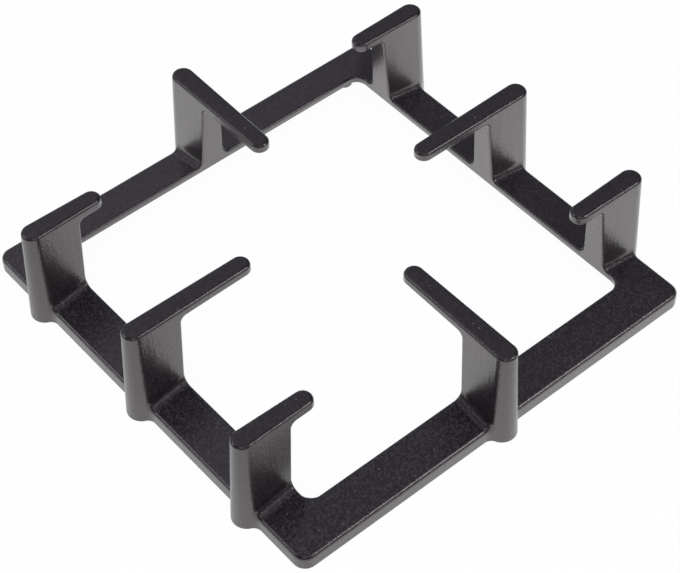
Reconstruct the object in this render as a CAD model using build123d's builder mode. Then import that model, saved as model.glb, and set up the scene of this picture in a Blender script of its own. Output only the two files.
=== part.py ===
# Hob pan support: a square cast ring that stands round a burner, with eight fingers that carry the pan.
# Origin: centre of the ring on the plane the pads rest on, Z up. X and Y run square to the ring's sides.
# Four long fingers stand at the middles of the sides and four short ones on the two X sides.
from build123d import *
import math
import os

os.makedirs("parts", exist_ok=True)

# ring seen from above
ring_size = 220.0  # across the outer sides, the same both ways
strip_width = 20.0  # outer side to inner side
outer_corner_radius = 6.0
inner_corner_radius = 5.6

# ring section: the top rises inward, the plate is thin and a lip stands down along the outer side
pad_drop = 0.8  # pads below the lip
outer_height = 8.2  # outer side's top edge above the resting plane
inner_height = 11.5  # inner side's top edge above the resting plane
plate_thickness = 3.5  # measured upright
lip_width = 4.2
outer_edge_radius = 1.9
lower_edge_radius = 0.5
mitre_radius = 18.0  # softens the crease where two sloping sides meet

# fingers
support_height = 53.9  # top of the arms above the resting plane
short_finger_inset = 37.2  # ring's outer side to the middle of a short finger, along the X sides
long_reach = 62.2  # outer side to the arm's tip
short_reach = 36.6
arm_width = 10.2  # at the outer end
arm_tip_width = 8.9
arm_depth = 4.8
arm_edge_radius = 1.6
boss_overhang_top = 3.6  # half-round end beyond the outer side, at the top
boss_overhang_bottom = 6.3  # and at the lip's underside
post_spread = 1.9  # what draft adds to each side of a post, top to bottom
post_top_setback = 22.6  # outer side to the post's inner face, under the arm
arm_root_radius = 3.0  # where the arm turns down into the post's inner face
post_base_radius = 4.2
inner_edge_radius = 1.0  # ring's inner top edge, posts' inner corners and arms' lower edges, one run

# pads
pad_diameter = 8.4
pad_setback = 10.4  # ring's outer side to the pad's centre
pad_from_corner = 21.0

# derived
half = ring_size / 2
short_finger_offset = half - short_finger_inset  # from the middle of the side
slope = (inner_height - outer_height) / strip_width
slope_angle = math.degrees(math.atan(slope))
blank_height = inner_height + strip_width * slope
underside_z = support_height - arm_depth
inner_tilt = (post_top_setback - strip_width) / (underside_z - inner_height)
inner_tilt_angle = math.degrees(math.atan(inner_tilt))
foot_setback = strip_width - inner_tilt * inner_height  # the tilted inner faces carried down to Z = 0
opening_size = ring_size - 2 * foot_setback
pad_height = outer_height + slope * pad_setback - plate_thickness / 2  # ends inside the plate


def slope_block(lowered):
    """Pyramid whose four faces lie in the ring's sloping top, or that far below it."""
    base = ring_size + 2 * (outer_height - lowered) / slope
    with BuildPart(mode=Mode.PRIVATE) as block:
        with BuildSketch():
            Rectangle(base, base)
        extrude(amount=blank_height, taper=90 - slope_angle)
        creases = block.edges().filter_by(
            lambda e: abs(e.tangent_at(0).X) > 0.3 and abs(e.tangent_at(0).Y) > 0.3
        )
        fillet(creases, mitre_radius)
    return block.part


def finger(reach):
    """One post with its arm: outer side of the ring at X = 0, arm along +X."""
    top_radius = arm_width / 2
    tip_radius = arm_tip_width / 2
    # drafted bar as tall as the support, its plan outline the arm's
    with BuildPart(mode=Mode.PRIVATE) as bar:
        with BuildSketch(Plane.XY.offset(pad_drop)):
            with Locations((top_radius + post_spread - boss_overhang_bottom, 0)):
                Circle(top_radius + post_spread)
            with Locations((reach - tip_radius, 0)):
                Circle(tip_radius + post_spread)
            make_hull()
        with BuildSketch(Plane.XY.offset(support_height)):
            with Locations((top_radius - boss_overhang_top, 0)):
                Circle(top_radius)
            with Locations((reach - tip_radius, 0)):
                Circle(tip_radius)
            make_hull()
        loft(ruled=True)
        fillet(bar.edges().group_by(Axis.Z)[-1], arm_edge_radius)
    # what stays of it lies above a line up the inner face and out along the arm's underside
    with BuildPart(mode=Mode.PRIVATE) as whole:
        add(bar.part)
        with BuildSketch(Plane.XZ):
            with BuildLine() as profile:
                Polyline((foot_setback, 0), (post_top_setback, underside_z), (ring_size, underside_z))
                turn = profile.vertices().sort_by_distance((post_top_setback, underside_z))[0]
                fillet(turn, arm_root_radius)
                Polyline(
                    (ring_size, underside_z),
                    (ring_size, support_height + 1),
                    (-ring_size, support_height + 1),
                    (-ring_size, 0),
                    (foot_setback, 0),
                )
            make_face()
        extrude(amount=ring_size, both=True, mode=Mode.INTERSECT)
    return whole.part


def is_rim(edge):
    """Upper edge all round the outside of the ring."""
    c = edge.center()
    outside = max(abs(c.X), abs(c.Y)) > half - outer_corner_radius / 2
    return outside and c.Z > (pad_drop + outer_height) / 2 and abs(edge.tangent_at(0.5).Z) < 0.5


def is_lower_rim(edge):
    """Lower edge all round the outside, posts included."""
    c = edge.center()
    return abs(c.Z - pad_drop) < 0.01 and max(abs(c.X), abs(c.Y)) > half - outer_corner_radius / 2


def is_junction(edge):
    """Where a post meets the ring's top, rounded edge and outer side."""
    c = edge.center()
    if not pad_drop < c.Z < inner_height - 0.5:
        return False
    for across, along, spots in ((c.X, c.Y, (0, short_finger_offset)), (c.Y, c.X, (0,))):
        if half - strip_width < abs(across) < half + 0.5:
            for spot in spots:
                if arm_width / 2 < abs(abs(along) - spot) < arm_width / 2 + post_spread + 0.3:
                    return True
    return False


def sharp_edges(part):
    """Edges at which two faces of a part meet at an angle."""
    faces_at = {}
    for face in part.faces():
        for edge in face.edges():
            faces_at.setdefault(edge, []).append(face)
    sharp = ShapeList()
    for edge, faces in faces_at.items():
        if len(faces) == 2:
            middle = edge.position_at(0.5)
            if faces[0].normal_at(middle).get_angle(faces[1].normal_at(middle)) > 15:
                sharp.append(edge)
    return sharp


with BuildPart() as pan_support:
    # ring blank under the sloping top
    with BuildSketch(Plane.XY.offset(pad_drop)):
        RectangleRounded(ring_size, ring_size, outer_corner_radius)
    extrude(amount=blank_height - pad_drop)
    add(slope_block(0), mode=Mode.INTERSECT)
    fillet(pan_support.edges().filter_by(is_rim), outer_edge_radius)

    # opening
    with BuildSketch():
        RectangleRounded(opening_size, opening_size, inner_corner_radius + inner_tilt * inner_height)
    extrude(amount=blank_height, taper=inner_tilt_angle, mode=Mode.SUBTRACT)

    # posts and arms
    long_finger = finger(long_reach)
    short_finger = finger(short_reach)
    for quarter in range(4):
        with Locations(Location((0, 0, 0), (0, 0, 90 * quarter)) * Location((-half, 0, 0))):
            add(long_finger)
    for turn in (0, 180):
        for offset in (-short_finger_offset, short_finger_offset):
            with Locations(Location((0, 0, 0), (0, 0, turn)) * Location((-half, offset, 0))):
                add(short_finger)

    # roundings: posts' feet, then the one run of edges from the ring's inner side to the arms' tips
    fillet(pan_support.edges().filter_by(is_junction), post_base_radius)
    inner_run = sharp_edges(pan_support.part).filter_by(lambda e: e.center().Z > inner_height - 1)
    fillet(inner_run, inner_edge_radius)
    fillet(pan_support.edges().filter_by(is_lower_rim), lower_edge_radius)

    # hollow under the plate, inside the lip
    hollow_size = ring_size - 2 * lip_width
    with BuildPart(mode=Mode.PRIVATE) as hollow:
        with BuildSketch():
            RectangleRounded(hollow_size, hollow_size, outer_corner_radius - lip_width / 2)
        extrude(amount=blank_height)
        add(slope_block(plate_thickness), mode=Mode.INTERSECT)
    add(hollow.part, mode=Mode.SUBTRACT)

    # pads
    with BuildSketch():
        with GridLocations(ring_size - 2 * pad_from_corner, ring_size - 2 * pad_setback, 2, 2):
            Circle(pad_diameter / 2)
    extrude(amount=pad_height)

pan_support.part.label = "pan_support"
export_step(pan_support.part, "parts/pan_support.step")
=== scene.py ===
# Hob pan support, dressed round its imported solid: one iron casting in satin black enamel.
# The solid gives every shape and size. This script adds the finish, the floor, the light
# and the camera. Metres, +Z up, the ring's centre over the origin, its pads on the plane z = 0.
import bpy
import bmesh
import math
from mathutils import Matrix, Vector

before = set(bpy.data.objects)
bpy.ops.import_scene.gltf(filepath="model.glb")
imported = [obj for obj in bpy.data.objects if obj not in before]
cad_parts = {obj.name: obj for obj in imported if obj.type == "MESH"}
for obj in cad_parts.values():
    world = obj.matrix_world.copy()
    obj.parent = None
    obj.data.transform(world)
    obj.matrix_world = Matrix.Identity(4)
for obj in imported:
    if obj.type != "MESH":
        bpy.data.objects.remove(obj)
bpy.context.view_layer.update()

# The casting: a square ring, eight posts and their arms, all of one piece of grey iron.
# It is sand cast and coated with satin black enamel. The enamel keeps a fine wrinkle on the
# ring's top, is smoother on the arms and posts, and has caught a little dust where it faces up.
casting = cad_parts["pan_support"]

enamel_black = (0.0028, 0.0025, 0.0032, 1.0)  # in the wrinkle's valleys
painted_glint_grey = (0.0212, 0.0186, 0.0262, 1.0)  # painted glint of the lamps, on its ridges
valley_level, ridge_level = -0.05, 0.14  # of the wrinkle, where those two colours are reached
painted_glint_on_arms = 0.55  # share of the ridges' painted glint away from the ring's top

ring_height = 0.0140  # all of the ring's own top lies below this
ring_blend = 0.002
steep, level = 0.60, 0.92  # upward part of the normal: below the first, not a top at all

wrinkle_scale = 700.0  # wrinkles about 1.4 mm apart
wrinkle_height = 0.00013
wrinkle_on_arms = 0.8  # share of its depth away from the ring's top
tooth_scale = 1900.0  # the fine grain between the wrinkles
tooth_depth = 0.22
tooth_in_colour = 0.8
run_scale = 260.0  # faint upright runs on the posts
run_stretch = (1.0, 1.0, 0.12)
run_depth = 0.8

gloss_scale = 38.0  # wanders over about 25 mm
gloss_wander = 0.10
side_roughness, top_roughness = 0.38, 0.34

dust_white = (0.42, 0.41, 0.40, 1.0)
dust_scale = 400.0  # one possible speck in each 2.5 mm
speck_core, speck_rim = 0.08, 0.20  # in parts of that distance
speck_rarity = 0.84  # share of the possible specks that aren't there
speck_on_arms, speck_on_ring = 0.30, 0.20

enamel = bpy.data.materials.new("satin_black_enamel")
enamel.use_nodes = True
enamel_nodes = enamel.node_tree.nodes
enamel_links = enamel.node_tree.links
shader = enamel_nodes["Principled BSDF"]
shader.inputs["IOR"].default_value = 1.95
shader.inputs["Specular Tint"].default_value = (1.0, 0.875, 0.93, 1.0)
shader.inputs["Coat Weight"].default_value = 1.0
shader.inputs["Coat IOR"].default_value = 1.68
shader.inputs["Coat Roughness"].default_value = 0.22


def enamel_node(kind, **settings):
    """A node of the enamel, with its properties and its inputs' values set by name."""
    node = enamel_nodes.new(kind)
    for name, value in settings.items():
        if name in node.inputs:
            node.inputs[name].default_value = value
        else:
            setattr(node, name, value)
    return node


place = enamel_node("ShaderNodeTexCoord").outputs["Object"]


def enamel_grain(scale, detail, stretch=(1.0, 1.0, 1.0)):
    """Even grain about zero over the casting, in the object's own coordinates."""
    spread = enamel_node("ShaderNodeMapping", Scale=stretch)
    enamel_links.new(place, spread.inputs["Vector"])
    grain = enamel_node("ShaderNodeTexNoise", Scale=scale, Detail=detail, Roughness=0.55)
    enamel_links.new(spread.outputs["Vector"], grain.inputs["Vector"])
    return enamel_sum("SUBTRACT", grain.outputs["Fac"], 0.5)


def enamel_sum(operation, first, second):
    """Sum, product and the like of two outputs or numbers."""
    node = enamel_node("ShaderNodeMath", operation=operation)
    for socket, value in zip(node.inputs, (first, second)):
        if isinstance(value, (int, float)):
            socket.default_value = value
        else:
            enamel_links.new(value, socket)
    return node.outputs["Value"]


def enamel_fade(value, low, high, start, end):
    """Smooth change from start to end as a value goes from low to high."""
    node = enamel_node("ShaderNodeMapRange", interpolation_type="SMOOTHSTEP")
    enamel_links.new(value, node.inputs["Value"])
    limits = {"From Min": low, "From Max": high, "To Min": start, "To Max": end}
    for name, number in limits.items():
        node.inputs[name].default_value = number
    return node.outputs["Result"]


# where the surface faces up, and how much of that is the ring's own top
facing = enamel_node("ShaderNodeSeparateXYZ")
surface = enamel_node("ShaderNodeNewGeometry")
enamel_links.new(surface.outputs["Normal"], facing.inputs["Vector"])
height = enamel_node("ShaderNodeSeparateXYZ")
enamel_links.new(place, height.inputs["Vector"])
upward = enamel_fade(facing.outputs["Z"], steep, level, 0.0, 1.0)
ring_share = enamel_fade(height.outputs["Z"], ring_height, ring_height + ring_blend, 1.0, 0.0)
ring_top = enamel_sum("MULTIPLY", upward, ring_share)

# relief: the wrinkle, deepest on the ring's top, then the tooth and the upright runs
wrinkle = enamel_grain(wrinkle_scale, 3.0)
tooth = enamel_grain(tooth_scale, 1.0)
runs = enamel_grain(run_scale, 2.0, run_stretch)
wrinkle_depth = enamel_fade(ring_top, 0.0, 1.0, wrinkle_on_arms, 1.0)
relief = enamel_sum("MULTIPLY", wrinkle, wrinkle_depth)
relief = enamel_sum("ADD", relief, enamel_sum("MULTIPLY", tooth, tooth_depth))
relief = enamel_sum("ADD", relief, enamel_sum("MULTIPLY", runs, run_depth))
bump = enamel_node("ShaderNodeBump", Strength=1.0, Distance=wrinkle_height)
enamel_links.new(relief, bump.inputs["Height"])
enamel_links.new(bump.outputs["Normal"], shader.inputs["Normal"])
enamel_links.new(bump.outputs["Normal"], shader.inputs["Coat Normal"])

# gloss: a little duller on upright faces, and it wanders as the enamel's thickness does
gloss = enamel_sum("MULTIPLY", enamel_grain(gloss_scale, 3.0), gloss_wander)
gloss = enamel_sum("ADD", gloss, enamel_fade(upward, 0.0, 1.0, side_roughness, top_roughness))
enamel_links.new(gloss, shader.inputs["Roughness"])

# colour: the enamel's near black, with a painted glint of the lamps on the ridges, then the
# dust on top
ridges = enamel_sum("ADD", wrinkle, enamel_sum("MULTIPLY", tooth, tooth_in_colour))
shade = enamel_node("ShaderNodeMix", data_type="RGBA")
painted_glint = enamel_fade(ridges, valley_level, ridge_level, 0.0, 1.0)
# the painted glint is full on the ring's up-facing top and weaker on the arms, posts and sides
painted_glint_share = enamel_fade(ring_top, 0.0, 1.0, painted_glint_on_arms, 1.0)
painted_glint = enamel_sum("MULTIPLY", painted_glint, painted_glint_share)
enamel_links.new(painted_glint, shade.inputs["Factor"])
shade.inputs["A"].default_value = enamel_black
shade.inputs["B"].default_value = painted_glint_grey
specks = enamel_node("ShaderNodeTexVoronoi", feature="F1", Scale=dust_scale)
enamel_links.new(place, specks.inputs["Vector"])
chance = enamel_node("ShaderNodeSeparateXYZ")
enamel_links.new(specks.outputs["Color"], chance.inputs["Vector"])
speck = enamel_fade(specks.outputs["Distance"], speck_core, speck_rim, 1.0, 0.0)
speck_there = enamel_sum("GREATER_THAN", chance.outputs["X"], speck_rarity)
speck = enamel_sum("MULTIPLY", speck, speck_there)
speck_weight = enamel_fade(ring_share, 0.0, 1.0, speck_on_arms, speck_on_ring)
speck = enamel_sum("MULTIPLY", speck, speck_weight)
speck = enamel_sum("MULTIPLY", speck, upward)
dusty = enamel_node("ShaderNodeMix", data_type="RGBA")
enamel_links.new(speck, dusty.inputs["Factor"])
enamel_links.new(shade.outputs["Result"], dusty.inputs["A"])
dusty.inputs["B"].default_value = dust_white
enamel_links.new(dusty.outputs["Result"], shader.inputs["Base Color"])

casting.data.materials.clear()
casting.data.materials.append(enamel)

# The floor: a plain white table that keeps a soft shadow. The camera sees it white. The enamel
# mirrors a painted pool of light on it, white beside the casting and greyer further away.
floor_half = 3.0
painted_pool_centre = (0.10, 0.06, 0.0)  # a painted pool of light is whitest round this point
# the painted pool is full white out to the first, and fades to its far tone at the second
painted_pool_radius, painted_fade_radius = 0.08, 0.45
painted_far_tone = 0.20
table_colour = (0.9, 0.9, 0.9, 1.0)
viewed_white = 0.96  # plain white in what the camera sees; the rest keeps the shadow
# share of the painted pool in what the enamel mirrors; the rest is the lamp-lit table
mirrored_white = 0.75

floor_mesh = bmesh.new()
bmesh.ops.create_grid(floor_mesh, x_segments=1, y_segments=1, size=floor_half)
floor_data = bpy.data.meshes.new("floor")
floor_mesh.to_mesh(floor_data)
floor_mesh.free()
floor = bpy.data.objects.new("floor", floor_data)
bpy.context.scene.collection.objects.link(floor)

table_white = bpy.data.materials.new("table_white")
table_white.use_nodes = True
table_nodes = table_white.node_tree.nodes
table_links = table_white.node_tree.links
table_nodes.clear()
seen = table_nodes.new("ShaderNodeLightPath")
table_place = table_nodes.new("ShaderNodeTexCoord")
away = table_nodes.new("ShaderNodeVectorMath")
away.operation = "DISTANCE"
away.inputs[1].default_value = painted_pool_centre
table_links.new(table_place.outputs["Object"], away.inputs[0])
painted_pool_tone = table_nodes.new("ShaderNodeMapRange")
painted_pool_tone.inputs["From Min"].default_value = painted_pool_radius
painted_pool_tone.inputs["From Max"].default_value = painted_fade_radius
painted_pool_tone.inputs["To Min"].default_value = 1.0
painted_pool_tone.inputs["To Max"].default_value = painted_far_tone
table_links.new(away.outputs["Value"], painted_pool_tone.inputs["Value"])


def table_sum(operation, first, second):
    """Product or greater of two of the table's tones, the second an output or a number."""
    node = table_nodes.new("ShaderNodeMath")
    node.operation = operation
    table_links.new(first, node.inputs[0])
    if isinstance(second, float):
        node.inputs[1].default_value = second
    else:
        table_links.new(second, node.inputs[1])
    return node.outputs["Value"]


# its glow: white for the camera, the painted pool of light in the enamel's reflections
painted_pool_colour = table_sum("MAXIMUM", seen.outputs["Is Camera Ray"], painted_pool_tone.outputs["Result"])
viewed = table_sum("MULTIPLY", seen.outputs["Is Camera Ray"], viewed_white)
mirrored = table_sum("MULTIPLY", seen.outputs["Is Glossy Ray"], mirrored_white)
white_share = table_sum("MAXIMUM", viewed, mirrored)
matt = table_nodes.new("ShaderNodeBsdfDiffuse")
matt.inputs["Color"].default_value = table_colour
white = table_nodes.new("ShaderNodeEmission")
table_links.new(painted_pool_colour, white.inputs["Color"])
table_mix = table_nodes.new("ShaderNodeMixShader")
table_links.new(white_share, table_mix.inputs["Fac"])
table_links.new(matt.outputs["BSDF"], table_mix.inputs[1])
table_links.new(white.outputs["Emission"], table_mix.inputs[2])
table_out = table_nodes.new("ShaderNodeOutputMaterial")
table_links.new(table_mix.outputs["Shader"], table_out.inputs["Surface"])
floor_data.materials.append(table_white)

# The room: pale where the camera looks past the floor's edge. What the enamel mirrors of it is
# a dim studio, darkest at the walls left and right, low down and behind the camera.
room_tint = (0.97, 0.95, 1.10, 1.0)
# axis of the direction looked in, from and to on it, and the tone at each
right_wall = ("X", 0.0, 0.72, 0.235, 0.085)
left_wall = ("X", -0.50, -0.05, 0.25, 1.0)
camera_side = ("Y", -0.35, 0.10, 0.30, 0.87)
far_side = ("Y", 0.10, 0.90, 1.0, 1.5)
low_down = ("Z", 0.05, 0.45, 0.40, 1.0)

room = bpy.data.worlds.new("room")
bpy.context.scene.world = room
room.use_nodes = True
room_nodes = room.node_tree.nodes
room_links = room.node_tree.links
room_nodes.clear()
room_path = room_nodes.new("ShaderNodeLightPath")
room_dim = room_nodes.new("ShaderNodeBackground")
room_view = room_nodes.new("ShaderNodeTexCoord")
room_axes = room_nodes.new("ShaderNodeSeparateXYZ")
room_links.new(room_view.outputs["Generated"], room_axes.inputs["Vector"])


def room_slope(axis, low, high, start, end):
    """Tone of the room that goes evenly from start to end along one axis."""
    slope = room_nodes.new("ShaderNodeMapRange")
    room_links.new(room_axes.outputs[axis], slope.inputs["Value"])
    limits = {"From Min": low, "From Max": high, "To Min": start, "To Max": end}
    for name, number in limits.items():
        slope.inputs[name].default_value = number
    return slope.outputs["Result"]


room_tone = room_slope(*right_wall)
for side in (left_wall, camera_side, far_side, low_down):
    darker = room_nodes.new("ShaderNodeMath")
    darker.operation = "MULTIPLY"
    room_links.new(room_tone, darker.inputs[0])
    room_links.new(room_slope(*side), darker.inputs[1])
    room_tone = darker.outputs["Value"]
room_dim.inputs["Color"].default_value = room_tint
room_links.new(room_tone, room_dim.inputs["Strength"])
room_pale = room_nodes.new("ShaderNodeBackground")
room_blend = room_nodes.new("ShaderNodeMixShader")
room_out = room_nodes.new("ShaderNodeOutputWorld")
room_links.new(room_path.outputs["Is Camera Ray"], room_blend.inputs["Fac"])
room_links.new(room_dim.outputs["Background"], room_blend.inputs[1])
room_links.new(room_pale.outputs["Background"], room_blend.inputs[2])
room_links.new(room_blend.outputs["Shader"], room_out.inputs["Surface"])


# The lamps: three small soft boxes that draw the light lines along the rounded edges, and a
# wide fill that lights the table and isn't mirrored.
def soft_box(name, size, power, position):
    """A square studio lamp that faces the casting."""
    lamp = bpy.data.lights.new(name, "AREA")
    lamp.shape = "SQUARE"
    lamp.size = size
    lamp.energy = power
    holder = bpy.data.objects.new(name, lamp)
    bpy.context.scene.collection.objects.link(holder)
    holder.location = position
    holder.rotation_mode = "QUATERNION"
    holder.rotation_quaternion = (-Vector(position)).to_track_quat("-Z", "Y")
    holder.visible_camera = False
    return holder


soft_box("lamp_front_right", size=0.60, power=3.1, position=(0.62, -0.97, 0.96))
soft_box("lamp_back_left", size=0.70, power=1.5, position=(-1.0, 0.76, 0.81))
soft_box("lamp_front_left", size=0.80, power=1.0, position=(-0.64, -0.78, 1.05))
fill = soft_box("lamp_fill", size=2.2, power=34.0, position=(-0.54, -0.66, 1.47))
fill.visible_glossy = False

# The camera: a long lens, looking down on the front corner, leaned a little to one side.
camera_azimuth = math.radians(-39.389)
camera_elevation = math.radians(49.232)
camera_lean = math.radians(1.158)
camera_place = Vector((-0.37007, -0.45582, 0.68025))
camera_back = Vector(
    (
        math.sin(camera_azimuth) * math.cos(camera_elevation),
        -math.cos(camera_azimuth) * math.cos(camera_elevation),
        math.sin(camera_elevation),
    )
)
camera_data = bpy.data.cameras.new("camera")
camera_data.lens = 104.56
camera_data.sensor_width = 36.0
camera_data.shift_x = -0.00483
camera_data.shift_y = -0.00152
camera_data.clip_start = 0.05
camera_data.clip_end = 50.0
camera = bpy.data.objects.new("camera", camera_data)
bpy.context.scene.collection.objects.link(camera)
camera_upright = (-camera_back).to_track_quat("-Z", "Y").to_matrix().to_4x4()
camera_roll = Matrix.Rotation(-camera_lean, 4, "Z")
camera.matrix_world = Matrix.Translation(camera_place) @ camera_upright @ camera_roll
bpy.context.scene.camera = camera

bpy.context.scene.view_settings.view_transform = "Standard"
